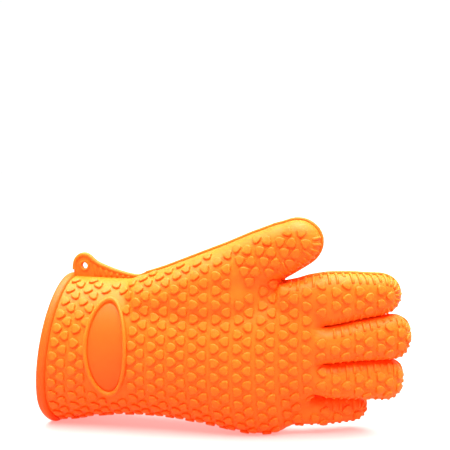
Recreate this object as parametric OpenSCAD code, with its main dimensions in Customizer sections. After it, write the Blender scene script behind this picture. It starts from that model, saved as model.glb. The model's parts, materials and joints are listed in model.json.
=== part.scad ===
// Heat resistant glove, right hand, one moulded silicone shell with a grip of raised nubs.
// X runs from the cuff to the fingertips, Z up to the thumb, -Y is the back of the hand.
// The glove stands on its little-finger edge on z = 0. All sizes are in millimetres.

/* [Shell] */
// Thickness of the moulded silicone wall
wall = 2.5; // [1.8:0.1:4]
// Length of the palm tube from the cuff mouth to the web between the fingers
palm_len = 176; // [160:1:190]
// Height of the cuff, little-finger edge to thumb edge
cuff_h = 102; // [90:1:115]
// Half thickness of the cuff at its mouth
cuff_half_t = 37; // [28:1:42]
// How far the cuff mouth leans back from the bottom edge to the top edge
mouth_lean = 14; // [0:1:24]
// Depth of the flats that the glove stands on
foot_flat = 1.2; // [0.5:0.1:2.5]

/* [Cuff hem, seam and tab] */
// Width of the thick band round the mouth
hem_w = 5; // [3:0.5:9]
// How far the band stands out of the cuff
hem_t = 1.3; // [0.6:0.1:2.5]
// Diameter of the parting-line bead
bead_d = 3; // [1.6:0.1:4]
// Thickness of the hanging tab
tab_t = 3.2; // [2.4:0.1:5]
// Length of the tab along the cuff
tab_len = 52; // [36:1:64]
// Radius of the rounded end of the tab
tab_r = 9; // [7:0.5:12]
// Diameter of the hanging hole
hole_d = 4.3; // [3.5:0.1:6]
// Diameter of the raised ring round the hole
ring_d = 8.4; // [7:0.2:11]
// Count of ribs on the tab
tab_ribs = 8; // [4:1:12]

/* [Badge] */
// Width of the blank oval along the cuff
badge_w = 29; // [20:1:40]
// Height of the blank oval up the cuff, seen square on
badge_h = 65; // [50:1:80]
// Width of the raised rim
badge_rim_w = 3; // [2:0.5:5]
// How far the rim stands out of the cuff
badge_rim_t = 1.4; // [0.8:0.1:2.5]

/* [Fingers] */
// Half thickness of the index finger, palm side to back
finger_half_t = 12.3; // [10:0.1:15]
// Bend of the resting finger at its tip, in degrees
rest_curl = 34; // [10:1:45]
// Most bend at a finger root joint, in degrees
root_flex = 70; // [40:1:75]
// Most bend at a middle finger joint, in degrees
mid_flex = 60; // [40:1:65]
// Most backward bend at any finger joint, in degrees
back_flex = 10; // [4:1:15]
// Clear gap left at each joint when straight
joint_gap = 0.35; // [0.3:0.05:1]

/* [Thumb] */
// Angle of the thumb above the palm, in degrees
thumb_lift = 23; // [15:1:35]
// Length of the thumb from the heel of the hand to the tip
thumb_len = 109; // [95:1:120]
// Most bend at each thumb joint, in degrees
thumb_flex = 45; // [30:1:50]

/* [Hidden] */
// shift that puts the middle of the bounding box on the Z axis
mid_x = 116.2;
mid_y = 0;
stand_z = 0;
big = 60;
eps = 0.01;
ring_n = 32;
tube_n = 24;
arch_z = 78;
mouth_x = -7;

// palm tube stations: x, bottom z, top z, half thickness, arch curvature
hand_tab = [
  [-24, 0, cuff_h, cuff_half_t + 2, 0],
  [0, 0, cuff_h, cuff_half_t, 0],
  [39, 6, cuff_h, cuff_half_t - 3, 0],
  [75, 8, 101.5, 32, 0],
  [110, 4, 99, 28, 0.0008],
  [143, -foot_flat, 97, 22.5, 0.002],
  [160, 2.5, 101, 17.5, 0.0032],
  [palm_len, 6.5, 107, 13.6, 0.0044]
];
hand_x = [-24, -10, 4, 16, 28, 40, 52, 64, 76, 90, 104, 118, 131, 143, 152, 160, 168, palm_len];
// stations of the palm tube that the hem and the badge panel lie on, and their gap to it
cuff_x = [-24, -10, 4, 16, 28];
badge_list = [16, 28, 40, 52, 64, 76];
seat = 0.03;

// fingers: root x, y, z, splay, roll, half width, half thickness, length, root joint, middle joint
index_f = [157, -2, 94.6, 0, 0, 16.2, finger_half_t, 82, 37, 61];
middle_f = [156, -2, 65.2, -0.5, 3, 12.5, finger_half_t - 0.2, 90, 39, 65];
ring_f = [156, 1.5, 41.6, -3, 6, 11.8, finger_half_t - 0.5, 85, 38, 62];
little_f = [144, 6, 19.6, -4.5, 12, 10.4, finger_half_t - 1.6, 72, 35, 55];
thumb_f = [84, -2, 94.5, thumb_lift, 0, 0, 0, thumb_len + 2, 72, 92];

// smooth value from a table: column c at x
function seg(x, tab) = max([for (j = [0 : len(tab) - 2]) (tab[j][0] <= x || j == 0) ? j : 0]);
function slope(tab, k, c) =
  let (a = max(k - 1, 0), b = min(k + 1, len(tab) - 1))
  (tab[b][c] - tab[a][c]) / (tab[b][0] - tab[a][0]);
function smooth(x, tab, c) =
  let (i = seg(x, tab), h = tab[i + 1][0] - tab[i][0], t = min(max((x - tab[i][0]) / h, 0), 1),
    s = t * t, u = s * t)
  (2 * u - 3 * s + 1) * tab[i][c] + (u - 2 * s + t) * h * slope(tab, i, c)
  + (3 * s - 2 * u) * tab[i + 1][c] + (u - s) * h * slope(tab, i + 1, c);

// outline of the palm tube at x, moved outwards by g
function hand_ring(x, px, g) =
  let (zl = smooth(x, hand_tab, 1), zh = smooth(x, hand_tab, 2), b = smooth(x, hand_tab, 3) + g,
    k = smooth(x, hand_tab, 4), a = (zh - zl) / 2 + g, zc = (zh + zl) / 2)
  [for (i = [0 : ring_n - 1])
    let (th = 360 * i / ring_n, zm = zc + a * cos(th), s = k * (zm - arch_z), q = sqrt(1 + s * s))
    [px, k * pow(zm - arch_z, 2) / 2 - b * sin(th) / q, zm + b * sin(th) * s / q]];

// finger frame: position and direction angle after n steps along the finger
curl_tab = [[0, 0], [0.15, 0.18], [0.5, 0.8], [0.8, 1], [1.2, 1]];
steps = 20;
function curl(f, t) = f == thumb_f ? 0 : rest_curl * lookup(t, curl_tab);
function walk(f, n) = n == 0 ? [0, 0] :
  let (p = walk(f, n - 1), a = curl(f, (n - 0.5) / steps), d = f[7] / steps)
  [p[0] + d * cos(a), p[1] + d * sin(a)];
function at(f, s) =
  let (n = max(0, floor(s * steps / f[7])), p = walk(f, n), a = curl(f, s / f[7]), d = s - n * f[7] / steps)
  [p[0] + d * cos(a), p[1] + d * sin(a), a];

// half width, half thickness and sideways offset of a finger or thumb at s
thumb_w = [[-22, 18.4], [0, 18.6], [50, 19.4], [66, 20], [82, 19.4], [96, 16.9], [111, 15.5]];
thumb_t = [[-22, 25], [0, 24], [35, 19.5], [60, 15.5], [85, 14], [111, 12.6]];
thumb_c = [[-22, 0.5], [0, -1.6], [50, -2.9], [66, -2.6], [82, -1.6], [96, 0], [111, 0.4]];
index_w = [[0, 0.5], [11, 0.62], [21, 0.9], [31, 1]];
function cap_r(f) = f == thumb_f ? 15 : 0.95 * f[5];
function cap(f, s, g) =
  let (e = s - (f[7] - cap_r(f)), r = cap_r(f) + g)
  e <= 0 ? 1 : sqrt(max(0.015, 1 - e * e / (r * r)));
function full_w(f, s) = f == thumb_f ? lookup(s, thumb_w)
  : f[5] * (1 - 0.08 * s / f[7]) * (f == index_f ? lookup(s, index_w) : 1);
function full_t(f, s) = f == thumb_f ? lookup(s, thumb_t) : f[6] * (1 - 0.1 * s / f[7]);
function half_w(f, s, g) = (full_w(f, s) + g) * cap(f, s, g);
function half_t(f, s, g) = (full_t(f, s) + g) * cap(f, s, g);
function side_c(f, s) = f == thumb_f ? lookup(s, thumb_c) : 0;

// local finger frame to the glove frame: X along, Y up across the finger, Z to the back
module finger_frame(f) {
  translate([f[0], f[1], f[2]])
    rotate([0, -f[3], 0])
      rotate([f[4], 0, 0])
        rotate([90, 0, 0])
          children();
}
// skin through rings of points: each pair of neighbouring rings is closed as one convex piece,
// with a low cone on each end that keeps neighbouring pieces from sharing a flat face
function middle(r) = [for (c = [0 : 2]) [for (p = r) 1] * [for (p = r) p[c]] / len(r)];
module loft(rings) {
  for (i = [0 : len(rings) - 2]) {
    a = middle(rings[i]);
    b = middle(rings[i + 1]);
    d = 0.4 * (b - a) / norm(b - a);
    pts = concat(rings[i], rings[i + 1], [a - d, b + d]);
    hull()
      polyhedron(points = pts, faces = [[for (k = [0 : len(pts) - 1]) k]]);
  }
}
// ring of a finger at s in its own frame, side: 0 whole, 1 back half, -1 palm half
function finger_ring(f, s, g, side) =
  let (p = at(f, s), a = p[2], w = half_w(f, s, g), t = half_t(f, s, g), c = side_c(f, s),
    n = side == 0 ? tube_n - 1 : tube_n / 2, m = side == 0 ? 1 : side)
  [for (i = [0 : n])
    let (th = 360 * i / tube_n, h = m * t * sin(th))
    [p[0] + h * sin(a), c + w * cos(th), -p[1] + h * cos(a)]];
module tube(f, list, g, side) {
  loft([for (s = list) finger_ring(f, s, g, side)]);
}
function span(a, b, n) = [for (i = [0 : n]) a + (b - a) * i / n];
function tip_list(f, a, g) =
  let (r = cap_r(f), c = f[7] - r)
  concat(span(a, c, 3), [for (k = [22, 42, 59, 73, 82]) c + (r + g) * sin(k)]);

// position of the finger axis at s in the glove frame, and its bend seen along the joint axis
function spot(f, s) =
  let (p = at(f, s), r = f[4], a = f[3])
  [f[0] + p[0] * cos(a) - p[1] * sin(r) * sin(a), f[1] + p[1] * cos(r),
    f[2] + p[0] * sin(a) + p[1] * sin(r) * cos(a)];
function axis_tilt(f) = f == thumb_f ? f[3] : 0;

// wedge cut across a finger at joint j: before = true removes what lies beyond the joint
module joint_cut(f, j, before, flex, across) {
  m = before ? 1 : -1;
  pf = tan(flex / 2);
  pb = tan(back_flex / 2);
  g = joint_gap / 2;
  translate(spot(f, j))
    rotate([0, -axis_tilt(f), 0])
      rotate([0, 0, at(f, j)[2]])
        linear_extrude(across, center = true)
          polygon([
            [-m * g, 0], [-m * (g + 24 * pf), 24], [m * 42, 24],
            [m * 42, -24], [-m * (g + 24 * pb), -24]
          ]);
}
module root_cut(f) {
  joint_cut(f, f[8], true, f == thumb_f ? thumb_flex : root_flex, f == thumb_f ? 46 : 2 * f[5] + 0.8);
}

// one piece of a finger between its joints
module finger_part(f, tip, side) {
  flex1 = f == thumb_f ? thumb_flex : root_flex;
  flex2 = f == thumb_f ? thumb_flex : mid_flex;
  a = tip ? f[9] - 10 : f[8] - 12;
  list = tip ? tip_list(f, a, 0) : span(a, f[9] + 10, 6);
  hollow = tip ? tip_list(f, a - 1, -wall) : span(a - 1, f[9] + 11, 6);
  difference() {
    finger_frame(f)
      difference() {
        tube(f, list, 0, side);
        tube(f, hollow, -wall, 0);
      }
    if (tip)
      joint_cut(f, f[9], false, flex2, big);
    else {
      joint_cut(f, f[8], false, flex1, big);
      joint_cut(f, f[9], true, flex2, big);
    }
  }
}

// palm tube
module hand_tube(g, list) {
  loft([for (x = list) hand_ring(x, x, g)]);
}
web_x = [160, 168, 176, 183, 187];
web_t = [13, 13.4, 12.6, 10.5, 6];
web_a = [34, 36, 38, 38, 36];
module web(g) {
  loft([for (k = [0 : 4])
    [for (i = [0 : tube_n - 1])
      let (th = 360 * i / tube_n)
      [web_x[k] + (k == 4 ? g : 0), (web_t[k] + g) * sin(th), 68 + (web_a[k] + g) * cos(th)]]]);
}
module rounded_end(g) {
  loft([hand_ring(palm_len, palm_len, g), hand_ring(palm_len, palm_len + 4.5 + g, g - 6)]);
}
module all_outer(g) {
  hand_tube(g, hand_x);
  rounded_end(g);
  web(g);
  finger_frame(index_f) tube(index_f, span(0, 42, 3), g, 0);
  finger_frame(middle_f) tube(middle_f, span(0, 44, 3), g, 0);
  finger_frame(ring_f) tube(ring_f, span(0, 43, 3), g, 0);
  finger_frame(little_f) tube(little_f, span(0, 40, 3), g, 0);
  finger_frame(thumb_f) tube(thumb_f, span(-22, 76, 6), g, 0);
}
module all_inner() {
  hand_tube(-wall, concat([-28], [for (x = hand_x) min(x, palm_len - 1)]));
  rounded_end(-wall);
  web(-wall);
  finger_frame(index_f) tube(index_f, span(-2, 46, 3), -wall, 0);
  finger_frame(middle_f) tube(middle_f, span(-2, 48, 3), -wall, 0);
  finger_frame(ring_f) tube(ring_f, span(-2, 47, 3), -wall, 0);
  finger_frame(little_f) tube(little_f, span(-2, 44, 3), -wall, 0);
  finger_frame(thumb_f) tube(thumb_f, span(-20, 80, 6), -wall, 0);
}
// everything on the open side of the cuff mouth
module beyond_mouth(back) {
  translate([mouth_x, 0, 0])
    rotate([0, atan(mouth_lean / cuff_h), 0])
      translate([-big + back, -big, -big])
        cube([big, 2 * big, 4 * big]);
}
module floor_cut() {
  translate([-50, -100, -50 - stand_z])
    cube([300, 200, 50]);
}
// the side of the parting surface that belongs to the palm
module palm_side() {
  loft([for (x = [-40, 0, 75, 92, 110, 127, 143, 160, palm_len, 230])
    let (k = smooth(min(max(x, -20), palm_len), hand_tab, 4))
    concat([for (z = [-8 : 10 : 172]) [x, k * pow(min(z, arch_z) - arch_z, 2) / 2 - 0.6, z]],
      [[x, big, 172], [x, big, -8]])]);
}
module hand_shell() {
  difference() {
    all_outer(0);
    all_inner();
    beyond_mouth(0);
    floor_cut();
    for (f = [index_f, middle_f, ring_f, little_f, thumb_f])
      root_cut(f);
  }
}
module place() {
  translate([-mid_x, -mid_y, stand_z])
    children();
}

module back_shell() {
  color([0.96, 0.42, 0.1])
    place()
      difference() {
        hand_shell();
        palm_side();
      }
}
module palm_shell() {
  color([0.93, 0.38, 0.09])
    place()
      intersection() {
        hand_shell();
        palm_side();
      }
}
module cuff_hem() {
  color([0.97, 0.45, 0.12])
    place()
      difference() {
        hand_tube(hem_t, cuff_x);
        hand_tube(seat, cuff_x);
        beyond_mouth(0);
        translate([hem_w + mouth_x, 0, 0])
          rotate([0, atan(mouth_lean / cuff_h), 0])
            translate([0, -big, -big])
              cube([big, 2 * big, 4 * big]);
        floor_cut();
        translate([0, -tab_t / 2 - 0.05, cuff_h - 10])
          cube([40, tab_t + 0.1, 40]);
      }
}

// hanging tab: a flat tongue on the thumb edge of the cuff
tab_x = 19;
tab_z = cuff_h + 6.6;
function tab_slope(i) = let (t = i / 10) [tab_x + t * (tab_len - 12), tab_z - 0.6 + (tab_r - 0.6)
  * pow(1 - t, 2.2) - 4.4 * t];
module tab_profile(g) {
  difference() {
    union() {
      translate([tab_x, tab_z])
        circle(r = tab_r + g, $fn = 48);
      polygon(concat([[tab_x - tab_r + 0.5, cuff_h], [tab_x - tab_r, tab_z]],
        [for (i = [0 : 10]) tab_slope(i) + [0, g]], [[tab_x + tab_len - 4, cuff_h]]));
    }
    translate([-20, cuff_h - 30])
      square([160, 30]);
  }
}
module hanging_tab() {
  color([0.96, 0.42, 0.1])
    place()
      difference() {
        union() {
          rotate([90, 0, 0])
            linear_extrude(tab_t, center = true)
              tab_profile(0);
          translate([tab_x, 0, tab_z])
            rotate([90, 0, 0])
              cylinder(d = ring_d, h = tab_t + 1.6, center = true, $fn = 48);
          for (i = [1 : tab_ribs])
            translate([tab_x + 4.2 + 4.3 * i - 0.7, -tab_t / 2 - 0.5, cuff_h])
              cube([1.4, tab_t + 1, max(1.5, tab_slope(1.12 * i + 0.6)[1] - cuff_h - 1.2)]);
        }
        translate([tab_x, 0, tab_z])
          rotate([90, 0, 0])
            cylinder(d = hole_d, h = 20, center = true, $fn = 48);
      }
}

// blank oval badge on the back of the cuff
badge_x = 47.5;
badge_z = 58.5;
module badge_prism(w, h) {
  translate([badge_x, 0, badge_z])
    rotate([90, 0, 0])
      linear_extrude(big)
        scale([w / h, 1])
          circle(d = h, $fn = 44);
}
// point on the back of the cuff at x, z, moved outwards by g
function back_pt(x, z, g) =
  let (zl = smooth(x, hand_tab, 1), zh = smooth(x, hand_tab, 2), b = smooth(x, hand_tab, 3),
    u = (2 * z - zl - zh) / (zh - zl))
  [x, -(b + g) * sqrt(1 - u * u), z + g * u];
function badge_pt(t, inset, g) =
  back_pt(badge_x + (badge_w / 2 - inset) * cos(t), badge_z + (badge_h / 2 - inset) * sin(t), g);
module badge_rim() {
  color([0.97, 0.47, 0.13])
    place()
      loft([for (i = [0 : 48])
        let (t = 7.5 * i)
        [badge_pt(t, 0, -0.4), badge_pt(t, 0.5, badge_rim_t), badge_pt(t, badge_rim_w - 0.5, badge_rim_t),
          badge_pt(t, badge_rim_w, -0.4)]]);
}
module badge_panel() {
  color([0.95, 0.4, 0.1])
    place()
      difference() {
        intersection() {
          hand_tube(0.5, badge_list);
          badge_prism(badge_w - 2 * badge_rim_w, badge_h - 2 * badge_rim_w);
        }
        hand_tube(seat, badge_list);
      }
}

// parting-line beads along the two edges of the palm tube
function edge_pt(x, top) =
  let (z = smooth(x, hand_tab, top ? 2 : 1), k = smooth(x, hand_tab, 4))
  [x, k * pow(z - arch_z, 2) / 2, z];
function bead_ring(p) = [for (i = [0 : 11]) p + [0, bead_d / 2 * cos(30 * i), bead_d / 2 * sin(30 * i)]];
module bottom_bead() {
  color([0.9, 0.36, 0.08])
    place()
      for (range = [[20 : 12.5 : 120], [158 : 9.5 : 177]])
        loft([for (x = range) bead_ring(edge_pt(x, false))]);
}
module thumb_bead() {
  color([0.98, 0.5, 0.15])
    place()
      finger_frame(thumb_f)
        loft([for (s = [-17 : 9.6 : 70])
          bead_ring([s, half_w(thumb_f, s, 0) + side_c(thumb_f, s), 0])]);
}

module piece(f, tip, side) {
  color(side > 0 ? [0.96, 0.42, 0.1] : [0.92, 0.37, 0.08])
    place()
      finger_part(f, tip, side);
}
module index_root_back() { piece(index_f, false, 1); }
module index_root_palm() { piece(index_f, false, -1); }
module index_tip_back() { piece(index_f, true, 1); }
module index_tip_palm() { piece(index_f, true, -1); }
module middle_root_back() { piece(middle_f, false, 1); }
module middle_root_palm() { piece(middle_f, false, -1); }
module middle_tip_back() { piece(middle_f, true, 1); }
module middle_tip_palm() { piece(middle_f, true, -1); }
module ring_root_back() { piece(ring_f, false, 1); }
module ring_root_palm() { piece(ring_f, false, -1); }
module ring_tip_back() { piece(ring_f, true, 1); }
module ring_tip_palm() { piece(ring_f, true, -1); }
module little_root_back() { piece(little_f, false, 1); }
module little_root_palm() { piece(little_f, false, -1); }
module little_tip_back() { piece(little_f, true, 1); }
module little_tip_palm() { piece(little_f, true, -1); }
module thumb_root_back() { piece(thumb_f, false, 1); }
module thumb_root_palm() { piece(thumb_f, false, -1); }
module thumb_tip_back() { piece(thumb_f, true, 1); }
module thumb_tip_palm() { piece(thumb_f, true, -1); }

back_shell();
palm_shell();
cuff_hem();
hanging_tab();
badge_rim();
badge_panel();
bottom_bead();
thumb_bead();
index_root_back();
index_root_palm();
index_tip_back();
index_tip_palm();
middle_root_back();
middle_root_palm();
middle_tip_back();
middle_tip_palm();
ring_root_back();
ring_root_palm();
ring_tip_back();
ring_tip_palm();
little_root_back();
little_root_palm();
little_tip_back();
little_tip_palm();
thumb_root_back();
thumb_root_palm();
thumb_tip_back();
thumb_tip_palm();
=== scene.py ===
"""Looks of the heat resistant glove: one silicone skin with nubs, ribs, seam beads, hem, tab and badge.

Shapes are worked out in millimetres in the part's own frame (X from the cuff, -Y the back of the hand,
Z up to the thumb) and moved to the row frame, in metres, when a mesh is made.
"""

import json
import math

import bmesh
import bpy
import numpy as np
from mathutils import Matrix, Vector
from mathutils.bvhtree import BVHTree


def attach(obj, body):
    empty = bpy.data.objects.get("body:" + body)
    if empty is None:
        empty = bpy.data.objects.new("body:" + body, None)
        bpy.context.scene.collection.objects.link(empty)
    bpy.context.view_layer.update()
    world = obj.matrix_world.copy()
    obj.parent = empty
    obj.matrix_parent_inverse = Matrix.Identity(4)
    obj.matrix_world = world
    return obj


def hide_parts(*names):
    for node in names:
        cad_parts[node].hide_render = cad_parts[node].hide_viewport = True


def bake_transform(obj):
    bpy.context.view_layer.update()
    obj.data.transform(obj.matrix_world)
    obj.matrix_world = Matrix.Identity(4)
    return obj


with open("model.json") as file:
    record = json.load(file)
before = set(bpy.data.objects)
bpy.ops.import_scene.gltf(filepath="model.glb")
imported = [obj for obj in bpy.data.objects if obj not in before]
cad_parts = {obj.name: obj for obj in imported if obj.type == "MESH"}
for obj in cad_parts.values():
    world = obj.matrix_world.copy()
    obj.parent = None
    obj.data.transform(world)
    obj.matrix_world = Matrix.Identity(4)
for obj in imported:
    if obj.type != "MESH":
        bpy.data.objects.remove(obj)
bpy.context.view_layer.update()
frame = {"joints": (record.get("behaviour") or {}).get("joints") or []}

MID = np.array([116.2, 0.0, 0.0])  # the row frame's origin, in the part's own frame
WALL = 2.3
SKIN = -0.7  # the skin under the nubs lies this much inside the CAD surface
VOXEL = 1.5  # size of the remesh that joins palm, fingers and webs
PI = math.pi

# ---------------------------------------------------------------- shape tables
CUFF_H = 102.0
MOUTH_X = -7.0
MOUTH_LEAN = 14.0
PALM_END = 176.0
ARCH_Z = 78.0
# the palm tube: x, lowest z, highest z, half thickness, curvature of its arch
HAND = np.array(
    [
        [-24, 0, CUFF_H, 39, 0],
        [0, 0, CUFF_H, 37, 0],
        [39, 6, CUFF_H, 34, 0],
        [75, 8, 101.5, 32, 0],
        [110, 4, 99, 28, 0.0008],
        [143, -1.2, 97, 22.5, 0.002],
        [160, 2.5, 101, 17.5, 0.0032],
        [PALM_END, 6.5, 107, 13.6, 0.0044],
    ]
)
# the thumb along its length: half width, half thickness, and how far its centre lies off the CAD line
THUMB_W = np.array([[-22, 18.4], [0, 18.6], [50, 18.9], [66, 18.0], [82, 16.8], [96, 15.0], [111, 14.0]])
THUMB_T = np.array([[-22, 25], [0, 24], [35, 19.5], [60, 15.5], [85, 14], [111, 12.6]])
THUMB_C = np.array([[-22, 0.5], [0, -1.6], [50, -2.8], [66, -1.7], [82, -1.1], [96, -0.5], [111, -0.7]])
INDEX_W = np.array([[0, 0.5], [11, 0.62], [21, 0.9], [31, 1]])
# free edges of the outer fingers: half width to the thumb side of the index, and below the little finger
INDEX_UP = np.array([[0, 8.1], [11, 10], [21, 13.6], [31, 14.7], [45, 14.5], [58, 13.3], [82, 11.6]])
LITTLE_LOW = np.array([[0, 9.4], [20, 10.8], [32, 12.2], [72, 11.8]])
# share of the rest curl reached along a finger
CURL = np.array([[0, 0], [0.15, 0.18], [0.5, 0.8], [0.8, 1], [1.2, 1]])
REST_CURL = 34.0
STEPS = 20

# root point, splay, roll, half width, half thickness, length, bend zone at the root (from, to, lean),
# bend zone in the middle (from, to), length of the ribs at the upper and lower edge
FINGERS = {
    "index": dict(root=(157, -2, 94.6), splay=0, roll=0, w=16.2, t=12.3, length=82,
                  zone_a=(28.5, 49.5, 0), zone_b=(52, 70), ribs=(6, 6), start=34.6),
    "middle": dict(root=(156, -2, 65.2), splay=-0.5, roll=3, w=12.5, t=12.1, length=90,
                   zone_a=(28.5, 50, 0), zone_b=(55.5, 74.5), ribs=(6.5, 5.5), start=35.6),
    "ring": dict(root=(156, 1.5, 41.6), splay=-3, roll=6, w=11.8, t=11.8, length=85,
                 zone_a=(28, 48.5, 0), zone_b=(53, 71), ribs=(9.5, 3), start=35.6),
    "little": dict(root=(144, 6, 19.6), splay=-4.5, roll=12, w=10.4, t=10.7, length=72,
                   zone_a=(28.8, 47.5, -14), zone_b=(48.6, 64), ribs=(11, 2.5), start=33.2),
    "thumb": dict(root=(84, -2, 94.5), splay=23, roll=0, w=0, t=0, length=108.5,
                  zone_a=(62, 80, 8), zone_b=(84, 100.5), ribs=(5, 9), start=41.5),
}


# narrow gaps between neighbours, from the index finger down, with the thumb's last: z along x, and where
# along x the gap starts and is full; they are opened along Z while the skin is made, then closed again
GAPS = [
    (((150, 184, 195, 208, 222), (73.4, 74.4, 76.8, 79.5, 81.2)), 166, 181),
    (((150, 184, 196, 208, 222), (49.6, 50.2, 51.5, 51.8, 51.2)), 166, 181),
    (((150, 170, 189, 208, 222), (26.6, 27.2, 27.0, 25.2, 23.2)), 156, 170),
    (((50, 250), (56.3, 140.3)), 152, 161),
]
OPEN, BAND, SLIT = 4.0, 1.2, 1.1
NAMES = list(FINGERS)


def smooth(x, tab, c):
    """Cubic Hermite through the table's stations, with finite-difference slopes."""
    xs, ys = tab[:, 0], tab[:, c]
    i = int(np.clip(np.searchsorted(xs, x, side="right") - 1, 0, len(xs) - 2))

    def slope(k):
        a, b = max(k - 1, 0), min(k + 1, len(xs) - 1)
        return (ys[b] - ys[a]) / (xs[b] - xs[a])

    h = xs[i + 1] - xs[i]
    t = min(max((x - xs[i]) / h, 0), 1)
    s, u = t * t, t**3
    return ((2 * u - 3 * s + 1) * ys[i] + (u - 2 * s + t) * h * slope(i)
            + (3 * s - 2 * u) * ys[i + 1] + (u - s) * h * slope(i + 1))


def look(x, tab):
    return float(np.interp(x, tab[:, 0], tab[:, 1]))


def step(a, b, x):
    t = np.clip((np.asarray(x, float) - a) / (b - a), 0, 1)
    return t * t * (3 - 2 * t)


def unit(v):
    v = np.asarray(v, float)
    return v / np.maximum(np.linalg.norm(v, axis=-1, keepdims=True), 1e-12)


def hand_ring(x, th, g=0.0):
    """The palm tube's outline at x, moved outwards by g. th 0 is the thumb edge, 90 degrees the back."""
    zl, zh, b, k = (smooth(x, HAND, c) for c in (1, 2, 3, 4))
    b, a, zc = b + g, (zh - zl) / 2 + g, (zh + zl) / 2
    zm = zc + a * np.cos(th)
    s = k * (zm - ARCH_Z)
    q = np.sqrt(1 + s * s)
    y = k * (zm - ARCH_Z) ** 2 / 2 - b * np.sin(th) / q
    return np.stack([np.full_like(zm, x), y, zm + b * np.sin(th) * s / q], -1)


def curl(f, t):
    return 0.0 if f is FINGERS["thumb"] else REST_CURL * look(t, CURL)


def walk(f, s):
    """Centre line of a finger in its own plane at s: along, palmwards, and direction angle."""
    ds = f["length"] / STEPS
    n = max(0, int(s / ds))
    x = y = 0.0
    for i in range(n):
        a = math.radians(curl(f, (i + 0.5) / STEPS))
        x, y = x + ds * math.cos(a), y + ds * math.sin(a)
    a = math.radians(curl(f, s / f["length"]))
    return x + (s - n * ds) * math.cos(a), y + (s - n * ds) * math.sin(a), a


def turn(f):
    """Matrix from the finger's frame (X along, Y across to the thumb side, Z to the back) to the part's."""
    sp, ro = math.radians(f["splay"]), math.radians(f["roll"])
    up = Matrix(((1, 0, 0), (0, 0, -1), (0, 1, 0)))
    roll = Matrix(((1, 0, 0), (0, math.cos(ro), -math.sin(ro)), (0, math.sin(ro), math.cos(ro))))
    splay = Matrix(((math.cos(sp), 0, -math.sin(sp)), (0, 1, 0), (math.sin(sp), 0, math.cos(sp))))
    return np.array(splay @ roll @ up)


def bare(f, s, c=0.0):
    """Centre, direction, across (thumb side) and back of a finger at s; c moves the centre across."""
    x, y, a = walk(f, s)
    m = turn(f)
    centre = np.array(f["root"], float) + m @ np.array([x, c, -y])
    return centre, m @ np.array([math.cos(a), 0, -math.sin(a)]), m @ np.array([0, 1.0, 0]), \
        m @ np.array([math.sin(a), 0, math.cos(a)])


def gap_z(k, x):
    return np.interp(x, GAPS[k][0][0], GAPS[k][0][1])


def edges(f, s):
    """Half widths of a finger's skin at s to the thumb side and to the other side."""
    w = f["w"] * (1 - 0.08 * s / f["length"])
    if f is FINGERS["index"]:
        w *= look(s, INDEX_W)
    w += SKIN
    centre, _, across, _ = bare(f, s)
    k = NAMES.index(next(n for n in FINGERS if FINGERS[n] is f))
    blend = float(step(20, 33, s))
    out = []
    for side, gap in ((1, k - 1), (-1, k)):
        if gap < 0:
            out.append(look(s, INDEX_UP))
        elif gap > 2:
            out.append(look(s, LITTLE_LOW))
        else:
            d = side * (gap_z(gap, centre[0]) - centre[2]) / across[2] - SLIT / 2
            out.append(w + blend * (d - w))
    return out


def section(f, s):
    """As bare, with the centre halfway between the finger's edges."""
    if f is FINGERS["thumb"]:
        return bare(f, s, look(s, THUMB_C))
    up, low = edges(f, s)
    return bare(f, s, (up - low) / 2)


def cap_r(f):
    return 15.0 if f is FINGERS["thumb"] else 0.95 * f["w"]


def widths(f, s, g):
    """Half width and half thickness of a finger at s, before its rounded end."""
    if f is FINGERS["thumb"]:
        return look(s, THUMB_W) + g, look(s, THUMB_T) + g
    return sum(edges(f, s)) / 2, f["t"] * (1 - 0.1 * s / f["length"]) + g


def finger_ring(f, s, th, g, dome=0.0):
    """Outline of a finger at s; dome is the angle round its rounded end."""
    centre, _, across, back = section(f, s)
    w, t = widths(f, s, g)
    n = 2 + 0.5 * step(40, 66, s) if f is FINGERS["thumb"] else 2.6
    r = math.cos(dome) * (abs(np.cos(th)) ** n + abs(np.sin(th)) ** n) ** (-1 / n)
    return centre + (w * r * np.cos(th))[:, None] * across + (t * r * np.sin(th))[:, None] * back


def finger_rings(f, start, g, n_ring):
    th = np.linspace(0, 2 * PI, n_ring, endpoint=False)
    flat = f["length"] - cap_r(f)
    rings = [finger_ring(f, s, th, g) for s in np.linspace(start, flat, 34)]
    for k in range(1, 12):
        a = PI / 2 * k / 12
        rings.append(finger_ring(f, flat + (cap_r(f) + g) * math.sin(a), th, g, a))
    return rings


# ---------------------------------------------------------------- mesh helpers
class Shape:
    """Vertices and faces gathered for one piece, in millimetres."""

    def __init__(self):
        self.v, self.f, self.n = [], [], 0

    def add(self, verts, faces):
        verts = np.asarray(verts, float)
        self.v.append(verts)
        self.f.extend([tuple(i + self.n for i in face) for face in faces])
        self.n += len(verts)

    def loft(self, rings, closed=True, caps=True, loop=False):
        """Quads between rings of equal size. closed: rings are closed lines; loop: the last joins the first."""
        m, k = len(rings[0]), len(rings)
        faces = []
        for i in range(k if loop else k - 1):
            a, b = i * m, ((i + 1) % k) * m
            for j in range(m if closed else m - 1):
                j2 = (j + 1) % m
                faces.append((a + j, a + j2, b + j2, b + j))
        if caps and not loop:
            faces.append(tuple(reversed(range(m))))
            faces.append(tuple((k - 1) * m + j for j in range(m)))
        self.add(np.concatenate(rings), faces)


def to_row(p):
    return (np.asarray(p, float) - MID) * 0.001


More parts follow.
